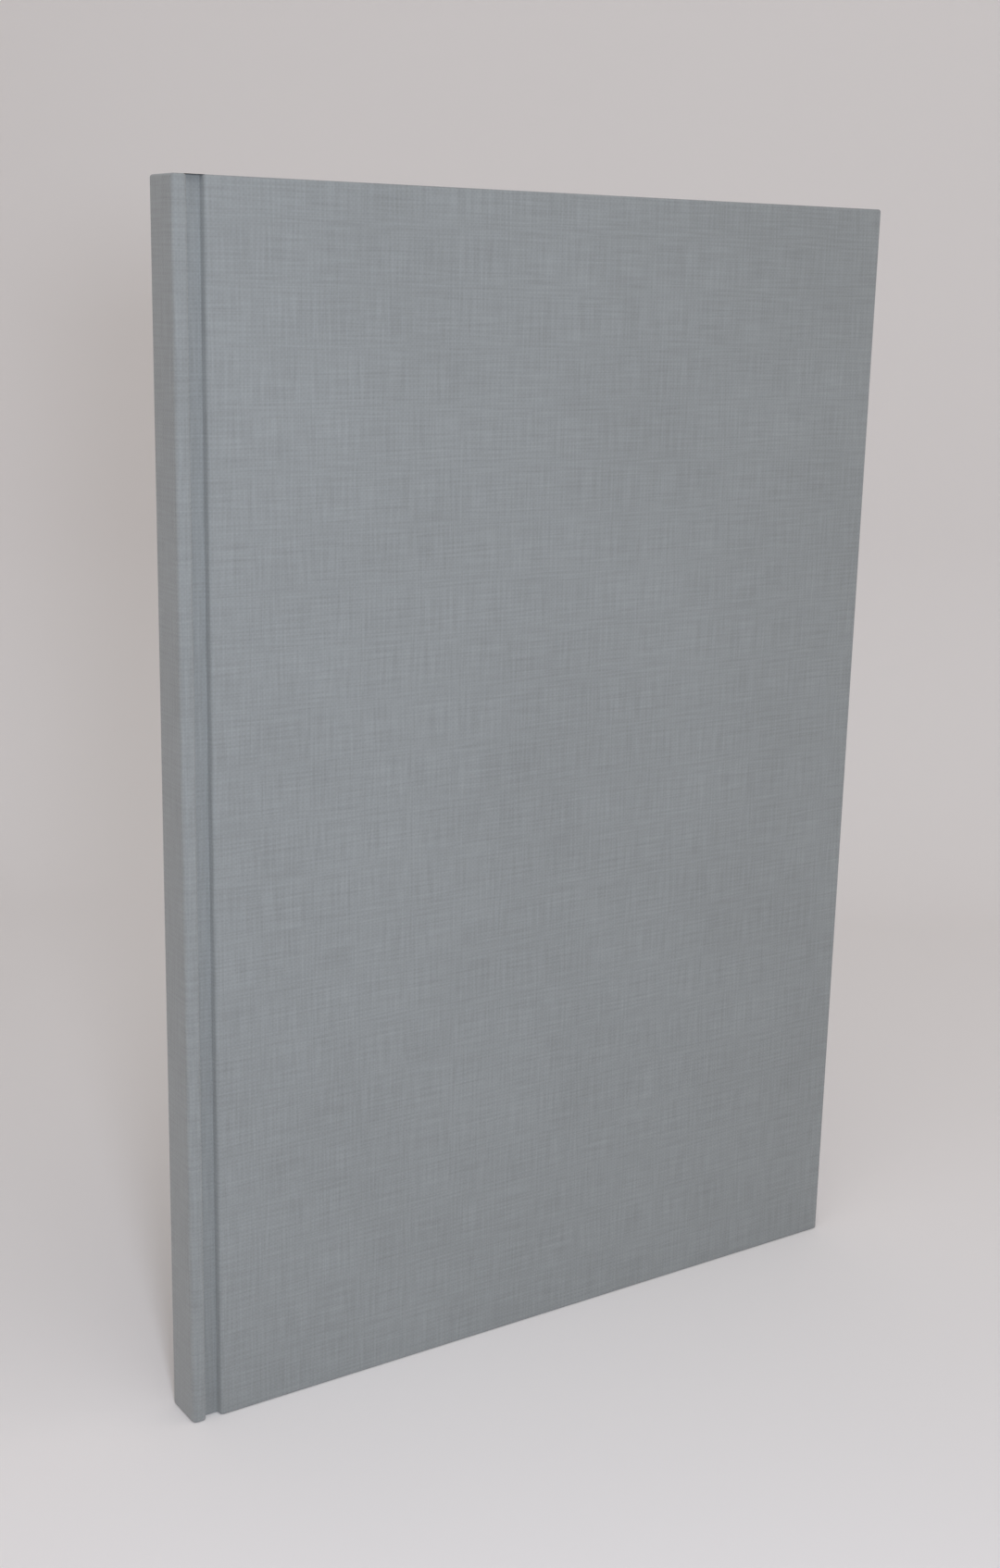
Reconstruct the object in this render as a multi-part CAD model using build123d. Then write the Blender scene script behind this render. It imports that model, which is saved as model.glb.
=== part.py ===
from build123d import *
import os

# Cloth-covered hardback book with a flat spine and grooved joints, closed and standing on its tail.
# Millimetres. +Z is up, +X runs from the spine to the fore edge, the front cover faces -Y.
# The origin is the middle of the rectangle that the closed book stands on.

# Whole book
HEIGHT = 303.0            # covers, head to tail: A4 pages plus two squares
WIDTH = 210.0             # outside of the spine to the fore edge of the covers
THICKNESS = 12.5          # across both covers, and across the spine

# Materials by the sheet
CLOTH = 0.3               # book cloth with its paper backing
BOARD = 2.5               # grey board of the covers and of the spine
ENDPAPER = 0.15           # endpaper stock
LINING = 0.2              # kraft paper, gauze and band tape on the back of the pages

# Case
TURN_IN = 15.0            # width of cloth folded in over the boards
JOINT_END = 7.8           # spine face to the covers' spine-side edge
JOINT_GAP = 0.4           # the joint cloth stops this far from the cover's edge
JOINT_RECESS = 0.6        # the joint cloth is this much shorter at head and tail
SPINE_CORNER = 1.2        # rounding of the two long outer corners of the spine
STRIP_CORNER = 0.8        # rounding where the spine cloth turns down into the joint
COVER_CORNER = 0.7        # rounding of the covers' outer edges
BOARD_CORNER = COVER_CORNER - CLOTH

# Pages
SQUARE = 3.0              # the covers stand this far past the pages at head, tail and fore edge
PAGE_BACK = 3.7           # spine face to the glued back of the pages
LEAF_GAP = 0.1            # air between a pastedown and the free leaf facing it
PASTE_BORDER = 3.0        # cloth left showing round a pastedown
MULL_SHORT = 20.0         # the gauze stops this far from the ends of the pages
BAND_BEAD = 0.8           # radius of the sewn bead of a headband
BAND_TAIL = 10.0          # length of band tape glued down the back of the pages

# Worked out
SPINE_DEPTH = CLOTH + BOARD + CLOTH
COVER_DEPTH = CLOTH + BOARD + CLOTH
FLY_Y = COVER_DEPTH + ENDPAPER + LEAF_GAP
BLOCK_Y = FLY_Y + ENDPAPER
FORE_X = WIDTH - SQUARE
LINING_X = PAGE_BACK - 2 * LINING

# Axes of the two cover hinges, across and into the book from the outside corner of the spine
HINGE_X = 3.3
HINGE_Y = 3.05


def span(x, y, z):
    """Box from three (low, high) pairs, measured from the spine's front corner at the tail."""
    size = Box(x[1] - x[0], y[1] - y[0], z[1] - z[0], align=(Align.MIN, Align.MIN, Align.MIN))
    return Pos(x[0], y[0], z[0]) * size


def rounded_slab(x, y, z, radius):
    """Slab whose front face has rounded edges and whose fore-edge corners are rounded."""
    slab = span(x, y, z)
    corners = slab.edges().filter_by(Axis.Y).group_by(Axis.X)[-1]
    slab = fillet(corners, radius)
    front_face = slab.faces().sort_by(Axis.Y)[0]
    return fillet(front_face.edges(), radius)


def to_back(piece):
    """The same piece for the back of the book, mirrored across the middle of the thickness."""
    return Pos(0, THICKNESS, 0) * mirror(piece, about=Plane.XZ)


# ---------------------------------------------------------------- covers
def cover_board():
    return rounded_slab(
        (JOINT_END + CLOTH, WIDTH - CLOTH),
        (CLOTH, CLOTH + BOARD),
        (CLOTH, HEIGHT - CLOTH),
        BOARD_CORNER,
    )


def cover_cloth():
    """Skin over the outside of a cover board, folded in round its head, tail and fore edge."""
    skin = rounded_slab((JOINT_END, WIDTH), (0, COVER_DEPTH), (0, HEIGHT), COVER_CORNER)
    bare_board = span(
        (JOINT_END + CLOTH, WIDTH - TURN_IN),
        (CLOTH + BOARD, COVER_DEPTH),
        (TURN_IN, HEIGHT - TURN_IN),
    )
    return skin - cover_board() - bare_board


def pastedown():
    """Endpaper glued inside a cover: over the folded-in cloth, and sunk to the board inside it."""
    paper_x = (JOINT_END + CLOTH, WIDTH - PASTE_BORDER)
    paper_z = (PASTE_BORDER, HEIGHT - PASTE_BORDER)
    sunk_x = (JOINT_END + CLOTH, WIDTH - TURN_IN)
    sunk_z = (TURN_IN, HEIGHT - TURN_IN)
    dish_x = (sunk_x[0], sunk_x[1] - ENDPAPER)
    dish_z = (sunk_z[0] + ENDPAPER, sunk_z[1] - ENDPAPER)
    sheet = span(paper_x, (COVER_DEPTH, COVER_DEPTH + ENDPAPER), paper_z)
    sunk = span(sunk_x, (CLOTH + BOARD, COVER_DEPTH), sunk_z)
    dish = span(dish_x, (CLOTH + BOARD + ENDPAPER, COVER_DEPTH + ENDPAPER), dish_z)
    return sheet + sunk - dish


# ---------------------------------------------------------------- spine
def spine_column(x, y, z, corner):
    """Upright bar with its two spine-face corners rounded."""
    bar = span(x, y, z)
    corners = bar.edges().filter_by(Axis.Z).group_by(Axis.X)[0]
    return fillet(corners, corner)


def spine_board():
    return spine_column(
        (CLOTH, CLOTH + BOARD),
        (CLOTH, THICKNESS - CLOTH),
        (CLOTH, HEIGHT - CLOTH),
        SPINE_CORNER - CLOTH,
    )


def spine_cloth():
    """Cloth round the spine board, folded in at head and tail, with the floor of each joint."""
    floor_y = (COVER_DEPTH - CLOTH + LEAF_GAP / 2, COVER_DEPTH + LEAF_GAP / 2)
    wrap = spine_column((0, SPINE_DEPTH), (0, THICKNESS), (0, HEIGHT), SPINE_CORNER)
    turn_down = wrap.edges().filter_by(Axis.Z).group_by(Axis.X)[-1]
    wrap = fillet(turn_down, STRIP_CORNER)
    bare_board = span(
        (CLOTH + BOARD, SPINE_DEPTH),
        (floor_y[1], THICKNESS - floor_y[1]),
        (TURN_IN, HEIGHT - TURN_IN),
    )
    joint_floor = span(
        (SPINE_DEPTH - CLOTH, JOINT_END - JOINT_GAP),
        floor_y,
        (JOINT_RECESS, HEIGHT - JOINT_RECESS),
    )
    return wrap + joint_floor + to_back(joint_floor) - spine_board() - bare_board


# ---------------------------------------------------------------- pages
def page_block():
    return span((PAGE_BACK, FORE_X), (BLOCK_Y, THICKNESS - BLOCK_Y), (SQUARE, HEIGHT - SQUARE))


def flyleaf():
    return span((PAGE_BACK, FORE_X), (FLY_Y, BLOCK_Y), (SQUARE, HEIGHT - SQUARE))


def mull():
    """Gauze glued to the back of the pages, short of both ends."""
    return span(
        (PAGE_BACK - LINING, PAGE_BACK),
        (FLY_Y, THICKNESS - FLY_Y),
        (SQUARE + MULL_SHORT, HEIGHT - SQUARE - MULL_SHORT),
    )


def spine_lining():
    """Kraft paper over the gauze and the band tapes, the full height of the pages."""
    return span(
        (LINING_X, PAGE_BACK - LINING),
        (FLY_Y, THICKNESS - FLY_Y),
        (SQUARE, HEIGHT - SQUARE),
    )


def band():
    """Tail band: a bead that sits on the page edges, with a tape glued to their back."""
    bead_x = PAGE_BACK - LINING + BAND_BEAD
    bead = Pos(bead_x, THICKNESS / 2, SQUARE - BAND_BEAD) * Rot(X=90) * Cylinder(
        BAND_BEAD, THICKNESS - 2 * FLY_Y
    )
    tape = span(
        (PAGE_BACK - LINING, PAGE_BACK),
        (FLY_Y, THICKNESS - FLY_Y),
        (SQUARE - BAND_BEAD, SQUARE + BAND_TAIL),
    )
    return bead + tape


def to_head(piece):
    """The same piece at the head, mirrored across the middle of the height."""
    return Pos(0, 0, HEIGHT) * mirror(piece, about=Plane.XY)


# ---------------------------------------------------------------- write each piece
pieces = {
    "page_block": page_block(),
    "front_flyleaf": flyleaf(),
    "back_flyleaf": to_back(flyleaf()),
    "mull": mull(),
    "spine_lining": spine_lining(),
    "tailband": band(),
    "headband": to_head(band()),
    "spine_board": spine_board(),
    "spine_cloth": spine_cloth(),
    "front_board": cover_board(),
    "front_cloth": cover_cloth(),
    "front_pastedown": pastedown(),
    "back_board": to_back(cover_board()),
    "back_cloth": to_back(cover_cloth()),
    "back_pastedown": to_back(pastedown()),
}

os.makedirs("parts", exist_ok=True)
to_row_frame = Pos(-WIDTH / 2, -THICKNESS / 2, 0)
for node, piece in pieces.items():
    export_step(to_row_frame * piece, f"parts/{node}.step")

print("front hinge axis at", HINGE_X - WIDTH / 2, HINGE_Y - THICKNESS / 2)
print("back hinge axis at", HINGE_X - WIDTH / 2, THICKNESS / 2 - HINGE_Y)
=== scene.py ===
import bmesh
import bpy
import math
import numpy as np
from mathutils import Matrix, Vector


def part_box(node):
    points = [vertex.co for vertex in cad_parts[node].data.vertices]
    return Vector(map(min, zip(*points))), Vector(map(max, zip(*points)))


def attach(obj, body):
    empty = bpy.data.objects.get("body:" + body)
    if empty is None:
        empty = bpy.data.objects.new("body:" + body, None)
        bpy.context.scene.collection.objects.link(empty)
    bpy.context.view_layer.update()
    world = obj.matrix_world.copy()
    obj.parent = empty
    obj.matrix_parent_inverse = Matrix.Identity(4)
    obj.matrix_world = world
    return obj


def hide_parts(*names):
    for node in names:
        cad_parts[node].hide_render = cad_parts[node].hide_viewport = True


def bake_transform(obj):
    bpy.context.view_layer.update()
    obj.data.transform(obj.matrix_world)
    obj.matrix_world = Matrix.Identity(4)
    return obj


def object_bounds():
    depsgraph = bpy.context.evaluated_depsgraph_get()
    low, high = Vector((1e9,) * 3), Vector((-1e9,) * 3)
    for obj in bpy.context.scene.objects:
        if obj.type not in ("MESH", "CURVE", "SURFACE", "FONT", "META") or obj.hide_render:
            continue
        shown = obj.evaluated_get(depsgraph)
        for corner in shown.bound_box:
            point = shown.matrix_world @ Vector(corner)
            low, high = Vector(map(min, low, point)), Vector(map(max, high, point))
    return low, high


# Cloth-covered hardback book on a pale sweep. Shapes are worked out in millimetres from the
# book's own corner: x in from the spine, y in from the front cover, z up from the tail.
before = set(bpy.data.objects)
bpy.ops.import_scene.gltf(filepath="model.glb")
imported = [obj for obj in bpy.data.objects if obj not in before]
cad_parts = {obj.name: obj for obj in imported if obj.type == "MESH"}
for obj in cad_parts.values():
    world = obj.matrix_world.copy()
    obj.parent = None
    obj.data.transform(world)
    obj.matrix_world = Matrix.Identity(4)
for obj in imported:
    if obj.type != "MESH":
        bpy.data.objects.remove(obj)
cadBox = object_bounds()
bookCorner = np.array(cadBox[0])
bookSize = (np.array(cadBox[1]) - bookCorner) * 1000
bookWidth, bookThickness, bookHeight = bookSize


def nodeMm(node):
    # lowest and highest corner of a CAD node, in book millimetres
    return [(np.array(corner) - bookCorner) * 1000 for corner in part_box(node)]


coverDepth = nodeMm("front_cloth")[1][1]                # from the cover's face to its inner face
pageLow, pageHigh = nodeMm("page_block")
spineBoardLow, spineBoardHigh = nodeMm("spine_board")
clothStock = spineBoardLow[0]                           # the board starts one cloth in from the spine
spineInside = spineBoardHigh[0] + clothStock

# where the cloth and the endpaper bend as a cover opens, in mm from the spine
bendSizes = {"start": 5.5, "end": nodeMm("front_cloth")[0][0]}


def linear(hexColour):
    # sRGB hex to linear: the sRGB curve undone on each channel
    s = np.array([int(hexColour[i:i + 2], 16) for i in (1, 3, 5)]) / 255
    return (*np.where(s <= 0.04045, s / 12.92, ((s + 0.055) / 1.055) ** 2.4), 1.0)


def toRow(points):
    # book millimetres to the frame's metres
    return np.asarray(points, float) / 1000 + bookCorner


def mirrorY(points):
    # front half to back half: y becomes the thickness less y
    return points * np.array([1, -1, 1]) + np.array([0, bookThickness, 0])


def roundedLine(corners, steps):
    # straight runs between (x, y, radius) corners, each corner an arc tangent to both its runs
    corners = np.array(corners, float)
    line = [corners[:1, :2]]
    for before, here, after in zip(corners[:-2], corners[1:-1], corners[2:]):
        a = (before[:2] - here[:2]) / np.linalg.norm(before[:2] - here[:2])
        b = (after[:2] - here[:2]) / np.linalg.norm(after[:2] - here[:2])
        half = math.acos(np.clip(a @ b, -1, 1)) / 2
        middle = here[:2] + (a + b) / np.linalg.norm(a + b) * here[2] / math.sin(half)
        first = here[:2] + a * here[2] / math.tan(half) - middle
        last = here[:2] + b * here[2] / math.tan(half) - middle
        turn = math.atan2(first[0] * last[1] - first[1] * last[0], first @ last)
        t = np.linspace(0, turn, steps)
        arc = np.stack([first[0] * np.cos(t) - first[1] * np.sin(t),
                        first[0] * np.sin(t) + first[1] * np.cos(t)], 1)
        line.append(middle + arc)
    line.append(corners[-1:, :2])
    return np.concatenate(line)


def refine(line, longest):
    # adds even points on every run longer than the given length
    pieces = [line[:1]]
    for a, b in zip(line[:-1], line[1:]):
        count = max(1, int(math.ceil(np.linalg.norm(b - a) / longest)))
        pieces.append(a + (b - a) * (np.arange(1, count + 1) / count)[:, None])
    return np.concatenate(pieces)


def spaced(stops, longest):
    # the stops along one axis, with even points between them
    return refine(np.array([[stop, 0] for stop in stops]), longest)[:, 0]


def inwardNormals(loop):
    # unit normals of a closed plane outline, pointing into it: its tangents turned a quarter
    tiny = 1e-9
    ahead = np.roll(loop, -1, 0) - loop
    behind = loop - np.roll(loop, 1, 0)
    tangent = (ahead / (np.linalg.norm(ahead, axis=1)[:, None] + tiny)
               + behind / (np.linalg.norm(behind, axis=1)[:, None] + tiny))
    tangent /= np.linalg.norm(tangent, axis=1)[:, None] + tiny
    area = np.sum(loop[:, 0] * np.roll(loop[:, 1], -1) - loop[:, 1] * np.roll(loop[:, 0], -1))
    return np.stack([-tangent[:, 1], tangent[:, 0]], 1) * np.sign(area)


def gridFaces(rows, columns, closed):
    # quads between rows of points; a closed row joins its end to its start
    r, c = np.meshgrid(np.arange(rows - 1), np.arange(columns if closed else columns - 1), indexing="ij")
    n = (c + 1) % columns
    quads = np.stack([r * columns + c, r * columns + n, (r + 1) * columns + n, (r + 1) * columns + c], -1)
    return quads.reshape(-1, 4).tolist()


def tubeFaces(rows, columns):
    # quads round a closed outline, and one flat face over each end
    last = (rows - 1) * columns
    ends = [list(range(columns))[::-1], list(range(last, last + columns))]
    return gridFaces(rows, columns, True) + ends


def newPiece(name, points, faces, uv=None, smooth=None):
    # mesh object with faces turned outwards; smooth is the angle past which an edge stays sharp
    mesh = bpy.data.meshes.new(name)
    mesh.from_pydata(toRow(points).tolist(), [], faces)
    if uv is not None:
        layer = mesh.uv_layers.new(name="clothMap")
        index = np.zeros(len(mesh.loops), np.int32)
        mesh.loops.foreach_get("vertex_index", index)
        layer.data.foreach_set("uv", np.asarray(uv, np.float32)[index].ravel())
    mesh.validate()
    shell = bmesh.new()
    shell.from_mesh(mesh)
    bmesh.ops.recalc_face_normals(shell, faces=shell.faces)
    shell.to_mesh(mesh)
    shell.free()
    if smooth is not None:
        mesh.shade_smooth()
        mesh.set_sharp_from_angle(angle=math.radians(smooth))
    piece = bpy.data.objects.new(name, mesh)
    bpy.context.scene.collection.objects.link(piece)
    return piece


def addNode(tree, kind, links=None, **settings):
    # one node, its settings by name, and its inputs: a socket's value or another node's output
    node = tree.nodes.new(kind)
    for key, value in settings.items():
        setattr(node, key, value)
    for socket, value in (links or {}).items():
        if isinstance(value, bpy.types.NodeSocket):
            tree.links.new(value, node.inputs[socket])
        else:
            node.inputs[socket].default_value = value
    return node


def newMaterial(name, **shader):
    # a material of one shader, whose sockets take the given values
    material = bpy.data.materials.new(name)
    material.use_nodes = True
    tree = material.node_tree
    tree.nodes.clear()
    output = addNode(tree, "ShaderNodeOutputMaterial")
    surface = addNode(tree, "ShaderNodeBsdfPrincipled", shader)
    tree.links.new(surface.outputs[0], output.inputs[0])
    return material, tree, surface


def mathNode(tree, operation, a, b=0.0):
    # the operation on two numbers or outputs
    return addNode(tree, "ShaderNodeMath", {0: a, 1: b}, operation=operation).outputs[0]


# Book cloth, plain woven cotton dyed slate grey and backed with paper. The eye gets fine crossed
# threads, a few thicker slubs running both ways, and a soft dry sheen at a low angle.
clothLook = {
    "threadMm": 0.62,        # real threads are 0.4 mm apart; drawn coarser so that they show
    "slubMm": 14.0,          # length of a thick place in a thread
    "slubShift": (17.0, 5.0, 0.0),   # keeps the two directions from repeating each other
    "cloudMm": 45.0,         # size of the faint uneven patches of dye
    "dark": "#7e8181", "light": "#9ca1a2",
    "threadShare": 0.5, "weaveShare": 0.04, "cloudShare": 0.2,    # what each adds to the tone
    "darkTone": 0.3, "lightTone": 0.9,                            # tones that the two colours stand at
    "roughness": 0.82, "specular": 0.3, "sheen": 0.25, "sheenRoughness": 0.5,
    "bumpMm": 0.035, "bumpStrength": 0.6, "weaveHeight": 0.5,
}


def bookCloth():
    look = clothLook
    material, tree, surface = newMaterial("wovenCottonBookCloth", **{
        "Roughness": look["roughness"], "IOR": 1.5, "Specular IOR Level": look["specular"],
        "Sheen Weight": look["sheen"], "Sheen Roughness": look["sheenRoughness"]})
    place = addNode(tree, "ShaderNodeUVMap", uv_map="clothMap").outputs[0]
    split = addNode(tree, "ShaderNodeSeparateXYZ", {0: place})
    turns = math.pi / look["threadMm"]                       # half a wave to each thread
    across = mathNode(tree, "SINE", mathNode(tree, "MULTIPLY", split.outputs[0], turns))
    along = mathNode(tree, "SINE", mathNode(tree, "MULTIPLY", split.outputs[1], turns))
    weave = mathNode(tree, "MULTIPLY", across, along)        # crowns and hollows, like a chequerboard
    slubs = []
    for crossMm, runMm, shift in ((look["threadMm"], look["slubMm"], (0.0, 0.0, 0.0)),
                                  (look["slubMm"], look["threadMm"], look["slubShift"])):
        stretch = addNode(tree, "ShaderNodeMapping", {
            "Vector": place, "Scale": (1 / crossMm, 1 / runMm, 1.0), "Location": shift}).outputs[0]
        slubs.append(addNode(tree, "ShaderNodeTexNoise", {
            "Vector": stretch, "Scale": 1.0, "Detail": 3.0, "Roughness": 0.6}).outputs[0])
    threads = mathNode(tree, "ADD", slubs[0], slubs[1])
    cloud = addNode(tree, "ShaderNodeTexNoise", {
        "Vector": place, "Scale": 1 / look["cloudMm"], "Detail": 2.0}).outputs[0]
    tone = mathNode(tree, "ADD", mathNode(tree, "MULTIPLY", threads, look["threadShare"]),
                    mathNode(tree, "MULTIPLY", weave, look["weaveShare"]))
    tone = mathNode(tree, "ADD", tone, mathNode(tree, "MULTIPLY", cloud, look["cloudShare"]))
    ramp = addNode(tree, "ShaderNodeMapRange", {
        0: tone, "From Min": look["darkTone"], "From Max": look["lightTone"],
        "To Min": 0.0, "To Max": 1.0}).outputs[0]
    colour = addNode(tree, "ShaderNodeMix", {
        0: ramp, 6: linear(look["dark"]), 7: linear(look["light"])}, data_type="RGBA").outputs[2]
    height = mathNode(tree, "ADD", mathNode(tree, "MULTIPLY", weave, look["weaveHeight"]), threads)
    bump = addNode(tree, "ShaderNodeBump", {
        "Height": height, "Strength": look["bumpStrength"], "Distance": look["bumpMm"] / 1000}).outputs[0]
    tree.links.new(colour, surface.inputs["Base Color"])
    tree.links.new(bump, surface.inputs["Normal"])
    return material


# The other materials are dry fibrous stocks of two tones. fleckMm is the size of the flecks or
# fibres, and a stretch under 1 draws them out along x, y or z.
evenFlecks = (1, 1, 1)
stockLooks = {
    # grey board pressed from pulped paper: dull, with dark flecks
    "pressedGreyBoard": {"dark": "#8b867e", "light": "#a39e95", "fleckMm": 1.2,
                         "roughness": 0.95, "bumpMm": 0.05, "stretch": evenFlecks},
    # uncoated book paper cut in a block: long fine lines along each edge
    "uncoatedPageStockCut": {"dark": "#d6d1c6", "light": "#ebe7df", "fleckMm": 0.11,
                             "roughness": 0.9, "bumpMm": 0.01, "stretch": (0.02, 1, 0.02)},
    # uncoated endpaper: smooth, warm white, with a faint tooth
    "uncoatedEndpaper": {"dark": "#e4dfd2", "light": "#f0ece2", "fleckMm": 0.5,
                         "roughness": 0.9, "bumpMm": 0.01, "stretch": evenFlecks},
    # gauze soaked with glue on the back of the pages: pale and coarse
    "gluedMullGauze": {"dark": "#cfc8b6", "light": "#ebe6d8", "fleckMm": 0.8,
                       "roughness": 0.85, "bumpMm": 0.08, "stretch": evenFlecks},
    # kraft lining paper: brown and fibrous
    "brownKraftLining": {"dark": "#a07c55", "light": "#b8946c", "fleckMm": 0.7,
                         "roughness": 0.9, "bumpMm": 0.02, "stretch": evenFlecks},
    # sewn cotton headband: pale thread wound round a cord
    "sewnCottonBand": {"dark": "#b9bcbd", "light": "#dcdedd", "fleckMm": 0.3,
                       "roughness": 0.8, "bumpMm": 0.03, "stretch": evenFlecks},
}


def fibrousStock(name):
    # two tones mixed by fine noise that also lifts the surface a little
    look = stockLooks[name]
    material, tree, surface = newMaterial(name, **{
        "Roughness": look["roughness"], "IOR": 1.5, "Specular IOR Level": 0.25})
    place = addNode(tree, "ShaderNodeTexCoord").outputs["Object"]
    scaled = addNode(tree, "ShaderNodeMapping", {
        "Vector": place, "Scale": tuple(1000 / look["fleckMm"] * s for s in look["stretch"])}).outputs[0]
    noise = addNode(tree, "ShaderNodeTexNoise", {"Vector": scaled, "Scale": 1.0, "Detail": 5.0}).outputs[0]
    colour = addNode(tree, "ShaderNodeMix", {
        0: noise, 6: linear(look["dark"]), 7: linear(look["light"])}, data_type="RGBA").outputs[2]
    bump = addNode(tree, "ShaderNodeBump", {
        "Height": noise, "Strength": 0.4, "Distance": look["bumpMm"] / 1000}).outputs[0]
    tree.links.new(colour, surface.inputs["Base Color"])
    tree.links.new(bump, surface.inputs["Normal"])
    return material


clothMaterial = bookCloth()
boardMaterial = fibrousStock("pressedGreyBoard")
pageMaterial = fibrousStock("uncoatedPageStockCut")
endpaperMaterial = fibrousStock("uncoatedEndpaper")
gauzeMaterial = fibrousStock("gluedMullGauze")
kraftMaterial = fibrousStock("brownKraftLining")
bandMaterial = fibrousStock("sewnCottonBand")
print("materials made")


# Cloth case: each half runs from the middle of the spine to the fore edge, with its boards inside.
# Sizes in mm. A name ending in X is a place in from the spine, groove is a depth and turnIn a
# width, and the corners, edges and rounds are radii.
caseSizes = {
    "spineCorner": 1.3, "crestX": 3.5, "crest": 0.7,          # the strip beside the spine
    "footX": 3.75, "groove": 2.1, "foot": 0.8,                # floor of the joint
    "creaseX": 7.5, "crease": 0.25, "boardX": 7.8, "boardEdge": 0.9,
    "foreEdge": 0.7, "foreInside": 0.5, "spineInside": 0.15,
    "endRound": 0.7, "webRound": 0.4,                         # edges at head and tail; web is the joint
    "webX": 5.7, "webHalf": 2.3, "webEase": 3,                # where the smaller radius holds
    "turnIn": 15.0, "arcSteps": 9, "endSteps": 6, "outlineMm": 6.0, "stationMm": 12.0,
    "sharpAngle": 35,
}


def caseSection():
    # outline of half the case, seen from the head: outer face first, inner face back
    s = caseSizes
    outline = roundedLine([
        (0, bookThickness / 2, 0), (0, 0, s["spineCorner"]), (s["crestX"], 0, s["crest"]),
        (s["footX"], s["groove"], s["foot"]), (s["creaseX"], s["groove"], s["crease"]),
        (s["boardX"], 0, s["boardEdge"]), (bookWidth, 0, s["foreEdge"]),
        (bookWidth, coverDepth, s["foreInside"]), (spineInside, coverDepth, s["spineInside"]),
        (spineInside, bookThickness / 2, 0)], s["arcSteps"])
    return refine(outline, s["outlineMm"])


def caseHalf(name, turned):
    # the outline carried from tail to head; at each end it draws in along a quarter circle,
    # whose radius eases (three squares less two cubes) from the edges' to the web's
    s = caseSizes
    section = caseSection()
    inward = inwardNormals(section)
    onSeam = np.isclose(section[:, 1], bookThickness / 2)
    inward[onSeam] = [1.0, 0.0]
    inward[onSeam & (section[:, 0] > spineInside / 2)] = [-1.0, 0.0]
    inWeb = np.clip(1 - np.abs(section[:, 0] - s["webX"]) / s["webHalf"], 0, 1)
    soft = np.clip(inWeb * s["webEase"], 0, 1)
    soft = soft * soft * (3 - 2 * soft)
    ring = s["endRound"] + (s["webRound"] - s["endRound"]) * soft
    quarter = np.linspace(0, math.pi / 2, s["endSteps"])
    ends = [(ring * (1 - math.cos(t)), ring * (1 - math.sin(t))) for t in quarter]
    stations = np.linspace(0, 1, int(bookHeight / s["stationMm"]) + 1)[1:-1]
    levels = ends[::-1]
    levels += [(ring * 0, ring + (bookHeight - 2 * ring) * t) for t in stations]
    levels += [(drawIn, bookHeight - rise) for drawIn, rise in ends]
    rows = np.array([np.column_stack([section + inward * drawIn[:, None], z]) for drawIn, z in levels])
    # length along the outline, so that the weave follows the cloth round every bend
    step = np.linalg.norm(np.diff(section, axis=0), axis=1)
    length = np.concatenate([[0], np.cumsum(step)])
    uv = np.stack([np.broadcast_to(length, rows.shape[:2]), rows[:, :, 2]], -1)
    points = rows.reshape(-1, 3)
    if turned:
        points = mirrorY(points)
        uv = uv * np.array([-1, 1])
    faces = tubeFaces(len(rows), len(section))
    piece = newPiece(name, points, faces, uv.reshape(-1, 2), smooth=s["sharpAngle"])
    piece.data.materials.append(clothMaterial)
    return piece


def bendAtJoint(piece):
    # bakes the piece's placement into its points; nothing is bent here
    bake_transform(piece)


frontCase = caseHalf("front_case_cloth", False)
backCase = caseHalf("back_case_cloth", True)
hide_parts("front_cloth", "spine_cloth")
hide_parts("back_cloth", "spine_cloth")
print("case cloth made")


# Endpapers: the glued leaf of each, from its fold at the back of the pages. Inside the frame of
# turned-in cloth it lies lower, because there is no cloth under it. Sizes in mm.
endpaperSizes = {
    "border": 3.0, "foldX": 4.1,
    "proud": 0.02, "buried": 0.03,                  # its face above the cover's inner face, its back below
    "step": 0.12, "slope": 0.6, "lowFromX": 9.0,    # drop inside the turned-in cloth
    "jointMm": 0.3, "acrossMm": 8.0, "upMm": 12.0,  # spacing of the points
    "sharpAngle": 40,
}


def pastedownSheet(name, turned):
    # a sheet of points across x and up z at the height of the cloth or the board under it
    s = endpaperSizes
    turnIn = caseSizes["turnIn"]
    foreFrame = bookWidth - turnIn
    headFrame = bookHeight - turnIn
    atJoint = spaced([s["foldX"], bendSizes["end"]], s["jointMm"])
    onCover = spaced([bendSizes["end"], foreFrame - s["slope"], foreFrame + s["slope"],
                      bookWidth - s["border"]], s["acrossMm"])
    up = spaced([s["border"], turnIn - s["slope"], turnIn + s["slope"], headFrame - s["slope"],
                 headFrame + s["slope"], bookHeight - s["border"]], s["upMm"])
    x, z = np.meshgrid(np.concatenate([atJoint, onCover[1:]]), up)
    inFrame = (x > s["lowFromX"]) & (x < foreFrame) & (z > turnIn) & (z < headFrame)
    lift = s["step"] * (1 - inFrame.astype(float))
    top = np.stack([x, coverDepth + s["proud"] + lift, z], -1).reshape(-1, 3)
    bottom = top * np.array([1, 0, 1]) + np.array([0, coverDepth - s["buried"], 0])
    points = np.concatenate([top, bottom])
    rows, columns = x.shape
    count = rows * columns
    quads = np.array(gridFaces(rows, columns, False))
    rim = np.concatenate([np.arange(columns), np.arange(1, rows) * columns + columns - 1,
                          (rows - 1) * columns + np.arange(columns - 2, -1, -1),
                          np.arange(rows - 2, 0, -1) * columns])
    ahead = np.roll(rim, -1)
    sides = np.stack([rim, ahead, ahead + count, rim + count], 1)
    faces = quads.tolist() + (quads[:, ::-1] + count).tolist() + sides.tolist()
    if turned:
        points = mirrorY(points)
    piece = newPiece(name, points, faces, smooth=s["sharpAngle"])
    piece.data.materials.append(endpaperMaterial)
    return piece


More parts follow.
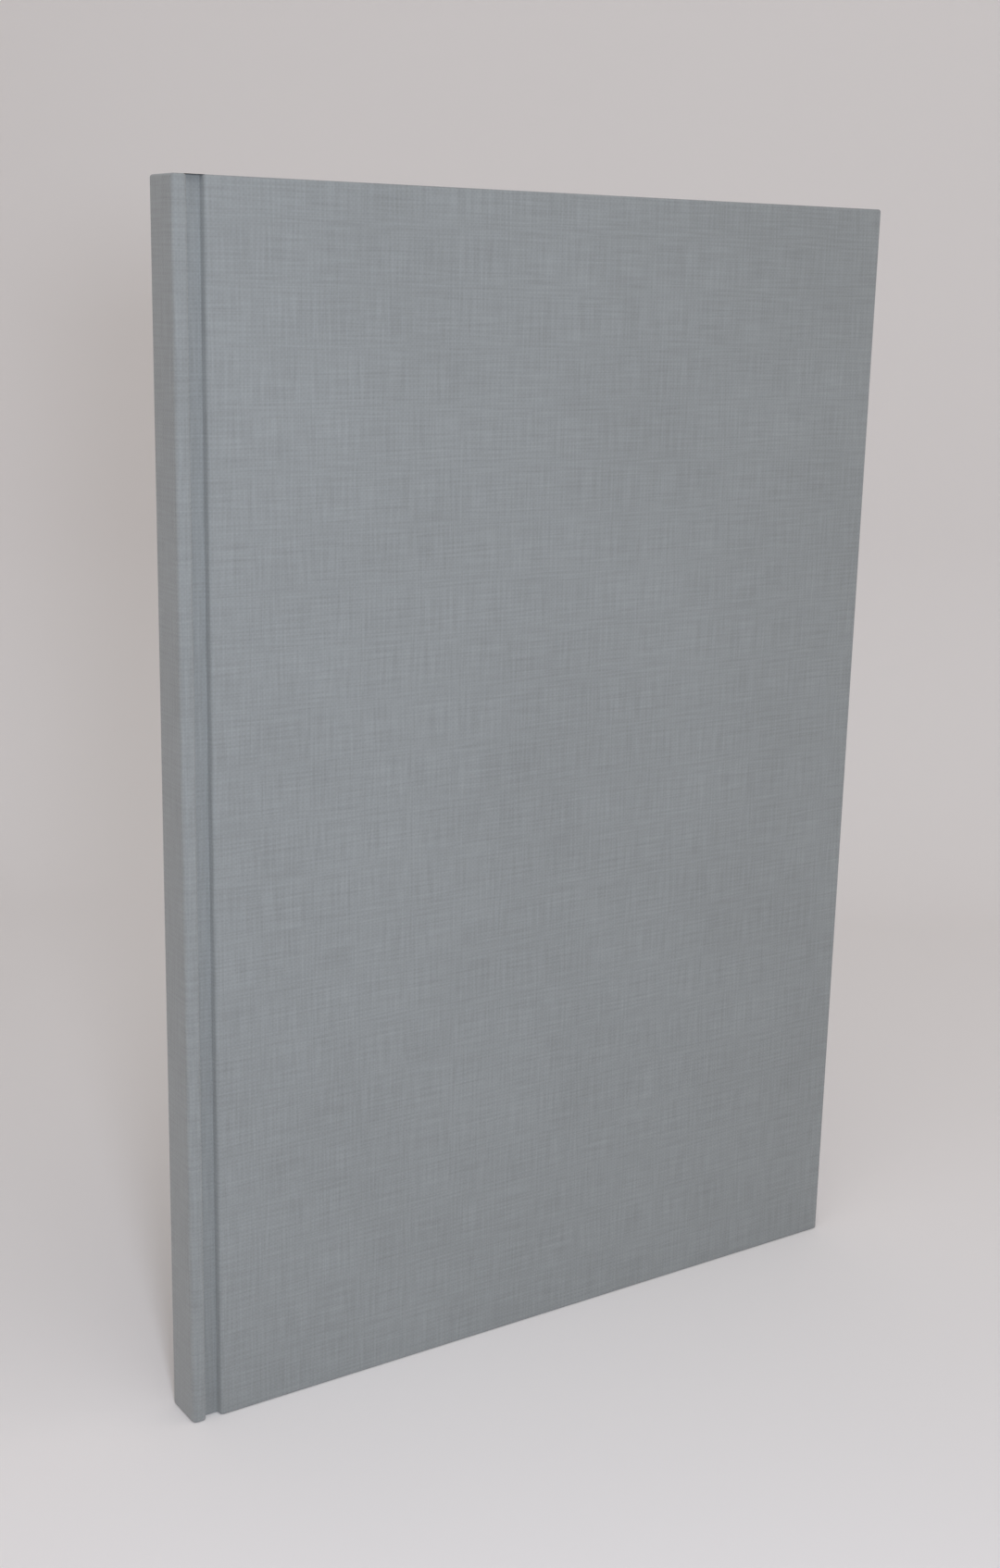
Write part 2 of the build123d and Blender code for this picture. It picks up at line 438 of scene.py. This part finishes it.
for side, turned in (("front", False), ("back", True)):
    leaf = pastedownSheet(f"{side}_endpaper", turned)
    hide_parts(f"{side}_pastedown")
    bendAtJoint(leaf)
for case, side in ((frontCase, "front"), (backCase, "back")):
    bendAtJoint(case)
print("endpapers made")


# Pages: a block whose cut edges show each leaf. Sizes in mm.
pageSizes = {
    "leafMm": 0.11,                       # thickness of one leaf
    "groove": 0.035, "uneven": 0.05,      # between leaves, and how far one leaf stands back
    "outerInset": 0.03, "stationMm": 20.0, "seed": 7,
}


def leafBlock():
    # outline carried through the thickness; each leaf's edge is set back by its own small amount
    s = pageSizes
    leaves = int((pageHigh[1] - pageLow[1]) / s["leafMm"])
    rng = np.random.default_rng(s["seed"])
    own = rng.uniform(-s["uneven"], 0, leaves)
    y = np.linspace(pageLow[1], pageHigh[1], 2 * leaves + 1)
    inset = np.full(len(y), s["groove"])
    inset[1::2] = 0
    inset = inset - np.interp(np.arange(len(y)), 2 * np.arange(leaves) + 1, own)
    inset[[0, -1]] = s["outerInset"]
    outline = refine(np.array([[pageLow[0], pageLow[2]], [pageHigh[0], pageLow[2]],
                               [pageHigh[0], pageHigh[2]], [pageLow[0], pageHigh[2]],
                               [pageLow[0], pageLow[2]]]), s["stationMm"])[:-1]
    middle = np.array([(pageLow[0] + pageHigh[0]) / 2, (pageLow[2] + pageHigh[2]) / 2])
    half = np.array([pageHigh[0] - pageLow[0], pageHigh[2] - pageLow[2]]) / 2
    scaled = (outline - middle) / half
    rows = [np.column_stack([middle[0] + scaled[:, 0] * (half[0] - d), np.full(len(outline), level),
                             middle[1] + scaled[:, 1] * (half[1] - d)]) for level, d in zip(y, inset)]
    return newPiece("page_block_leaves", np.concatenate(rows), tubeFaces(len(rows), len(outline)))


pages = leafBlock()
pages.data.materials.append(pageMaterial)
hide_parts("page_block")
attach(pages, "pages_and_spine")
print("pages made")


# Headband and tailband: a cord wound with thread, so its radius swells at each turn. Sizes in mm.
bandSizes = {"threadMm": 0.45, "swell": 0.07, "stepsPerThread": 6, "stepsRound": 20, "sharpAngle": 60}


def woundBand(node):
    # tube along y whose radius is the bead's, less a shallow groove between turns of thread
    s = bandSizes
    low, high = nodeMm(node)
    radius = (high[0] - low[0]) / 2
    atHead = low[2] > bookHeight / 2
    middleZ = pageHigh[2] + radius if atHead else pageLow[2] - radius
    length = high[1] - low[1]
    y = np.linspace(low[1], high[1], int(length / s["threadMm"] * s["stepsPerThread"]))
    crown = np.abs(np.sin(math.pi * (y - low[1]) / s["threadMm"]))
    r = radius - s["swell"] * (1 - crown)
    turn = np.linspace(0, 2 * math.pi, s["stepsRound"], endpoint=False)
    x = low[0] + radius + r[:, None] * np.cos(turn)
    z = middleZ + r[:, None] * np.sin(turn)
    points = np.stack([x, np.broadcast_to(y[:, None], x.shape), z], -1).reshape(-1, 3)
    piece = newPiece(f"{node}_wound", points, tubeFaces(len(y), len(turn)), smooth=s["sharpAngle"])
    piece.data.materials.append(bandMaterial)
    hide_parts(node)
    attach(piece, "pages_and_spine")


for node in ("headband", "tailband"):
    woundBand(node)
print("bands made")

# pieces whose CAD shape is shown as it is
carried = {"front_board": boardMaterial, "back_board": boardMaterial, "spine_board": boardMaterial,
           "front_flyleaf": endpaperMaterial, "back_flyleaf": endpaperMaterial,
           "mull": gauzeMaterial, "spine_lining": kraftMaterial}
for node, material in carried.items():
    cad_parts[node].data.materials.clear()
    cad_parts[node].data.materials.append(material)
print("boards, free leaves and linings finished")


# Camera: place in book heights from the spine's front corner at the tail, angles in degrees
cameraSizes = {"place": (-0.628, -1.374, 0.928), "turn": 33.84, "down": 14.01, "roll": 1.25,
               "lens": 46.03, "clip": 0.01}

# Stage: a pale floor that curves up into a backdrop, in metres from the book towards and away
# from the camera
stageSizes = {"behind": 0.36, "bend": 0.16, "bendSteps": 24, "front": 1.2, "wide": 1.6, "tall": 1.5,
              "colour": "#ece9e8", "roughness": 0.95, "specular": 0.1, "sharpAngle": 60}


def sweep():
    # floor, quarter circle and wall in one profile, carried sideways
    s = stageSizes
    t = np.linspace(0, math.pi / 2, s["bendSteps"])
    depth = np.concatenate([[-s["front"]], s["behind"] + s["bend"] * np.sin(t), [s["behind"] + s["bend"]]])
    rise = np.concatenate([[0], s["bend"] * (1 - np.cos(t)), [s["tall"]]])
    side = np.array([-s["wide"], s["wide"]])
    turn = math.radians(cameraSizes["turn"])
    away = np.array([math.sin(turn), math.cos(turn)])
    right = np.array([math.cos(turn), -math.sin(turn)])
    d, w = np.meshgrid(depth, side, indexing="ij")
    h = np.broadcast_to(rise[:, None], d.shape)
    points = np.stack([d * away[0] + w * right[0], d * away[1] + w * right[1], h], -1).reshape(-1, 3)
    faces = gridFaces(len(depth), len(side), False)
    floor = newPiece("pale_sweep", (points - bookCorner) * 1000, faces, smooth=s["sharpAngle"])
    # matt background paper: pale, with almost no gloss
    material = newMaterial("mattePaperSweep", **{
        "Base Color": linear(s["colour"]), "Roughness": s["roughness"],
        "Specular IOR Level": s["specular"]})[0]
    floor.data.materials.append(material)


def addCamera():
    # the view's axes from its three angles, then rolled about the line of sight
    s = cameraSizes
    yaw, pitch, roll = (math.radians(s[k]) for k in ("turn", "down", "roll"))
    ahead = Vector((math.sin(yaw) * math.cos(pitch), math.cos(yaw) * math.cos(pitch), -math.sin(pitch)))
    right = Vector((math.cos(yaw), -math.sin(yaw), 0))
    up = right.cross(ahead)
    tiltedRight = right * math.cos(roll) + up * math.sin(roll)
    tiltedUp = up * math.cos(roll) - right * math.sin(roll)
    lens = bpy.data.cameras.new("camera")
    lens.lens = s["lens"]
    lens.clip_start = s["clip"]
    camera = bpy.data.objects.new("camera", lens)
    turn = Matrix((tiltedRight, tiltedUp, -ahead)).transposed().to_4x4()
    place = Vector(s["place"]) * float(bookHeight) / 1000 + Vector(bookCorner)
    camera.matrix_world = Matrix.Translation(place) @ turn
    bpy.context.scene.collection.objects.link(camera)
    bpy.context.scene.camera = camera
    return place, right


sweep()
cameraPlace, cameraRight = addCamera()

# Lamps: place and width of the round source in metres, power in watts, and colour. A small one
# stands beside the camera, a big soft one hangs overhead, and two weaker ones fill the sides.
aimPoint = (0, 0, 0.15)                                     # middle of the book
besideCamera = cameraRight * 0.04 + Vector((0, 0, 0.03))
lampSizes = {
    "nearLamp": {"place": cameraPlace + besideCamera, "size": 0.07, "power": 1.15, "colour": "#eaf1ff"},
    "overheadSoftbox": {"place": (-0.3, -0.5, 1.3), "size": 1.2, "power": 5.0, "colour": "#ffffff"},
    "rightSoftbox": {"place": (1.0, -0.6, 0.7), "size": 0.9, "power": 1.6, "colour": "#fff1e6"},
    "leftBounce": {"place": (-0.9, 0.1, 0.25), "size": 0.6, "power": 0.4, "colour": "#ffd2ae"},
}
roomLight = {"colour": "#f6f4f4", "strength": 0.37}         # even light from all round


def areaLight(name):
    # a round source facing the middle of the book
    s = lampSizes[name]
    lamp = bpy.data.lights.new(name, "AREA")
    lamp.shape = "DISK"
    lamp.size = s["size"]
    lamp.energy = s["power"]
    lamp.color = linear(s["colour"])[:3]
    holder = bpy.data.objects.new(name, lamp)
    holder.location = s["place"]
    holder.rotation_euler = (Vector(aimPoint) - Vector(s["place"])).to_track_quat("-Z", "Y").to_euler()
    bpy.context.scene.collection.objects.link(holder)


for name in lampSizes:
    areaLight(name)
world = bpy.data.worlds.new("softRoom")
world.use_nodes = True
world.node_tree.nodes["Background"].inputs["Color"].default_value = linear(roomLight["colour"])
world.node_tree.nodes["Background"].inputs["Strength"].default_value = roomLight["strength"]
bpy.context.scene.world = world
bpy.context.scene.view_settings.view_transform = "Standard"
print("stage, lights and camera made")
